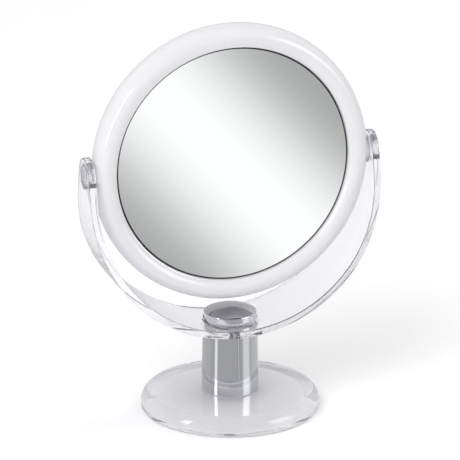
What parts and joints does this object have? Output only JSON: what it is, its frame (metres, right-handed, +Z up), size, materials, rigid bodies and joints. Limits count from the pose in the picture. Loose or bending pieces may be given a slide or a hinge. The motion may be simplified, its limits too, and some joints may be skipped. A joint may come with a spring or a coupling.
{
  "type": "countertop mirror",
  "caption": "Two-sided round vanity mirror in a clear ring, tilting between the ears of a clear U-shaped yoke on a plated column and a clear disc base.",
  "frame": {"origin": "centre of the footprint on the table, under the base disc", "axes": "+Z up, -Y out of the flat mirror's face at rest, X along the tilt axis through both ears"},
  "size_m": [0.185, 0.11, 0.246],
  "materials": {
    "milky_acrylic": "translucent white, polished",
    "clear_acrylic": "clear, polished",
    "clear_soft_pad": "translucent silicone, satin",
    "chrome_plating": "mirror polished",
    "mirror_glass": "silvered float glass, polished",
    "backing_paint": "matt grey backing paint and film",
    "bonding_tape": "matt white foam tape",
    "grey_foam": "matt light grey foam",
    "light_plastic": "satin light grey moulded plastic",
    "zinc_plated_steel": "bright zinc plated"
  },
  "bodies": {
    "stand": {"base_disc": "clear_acrylic", "base_feet": "clear_soft_pad", "column_gasket": "clear_soft_pad", "column_sleeve": "chrome_plating", "column_core": "light_plastic", "tie_bolt": "zinc_plated_steel", "bolt_washer": "zinc_plated_steel", "yoke_gasket_lower": "clear_soft_pad", "yoke": "clear_acrylic", "yoke_gasket_upper": "clear_soft_pad", "cap_insert": "light_plastic", "cap_nut": "zinc_plated_steel", "cap_shell": "chrome_plating"},
    "mirror_head": {"mirror_ring": "milky_acrylic", "flat_mirror_glass": "mirror_glass", "flat_mirror_backing": "backing_paint", "flat_mirror_tape": "bonding_tape", "magnifying_mirror_glass": "mirror_glass", "magnifying_mirror_backing": "backing_paint", "magnifying_mirror_tape": "bonding_tape", "foam_core": "grey_foam", "pivot_plug_left": "clear_acrylic", "pivot_plug_right": "clear_acrylic", "pivot_washer_left": "clear_soft_pad", "pivot_washer_right": "clear_soft_pad"}
  },
  "joints": [
    {"name": "mirror_tilt", "type": "hinge", "parent": "stand", "child": "mirror_head", "pos_m": [0, 0, 0.159], "axis": [1, 0, 0], "continuous": true}
  ]
}
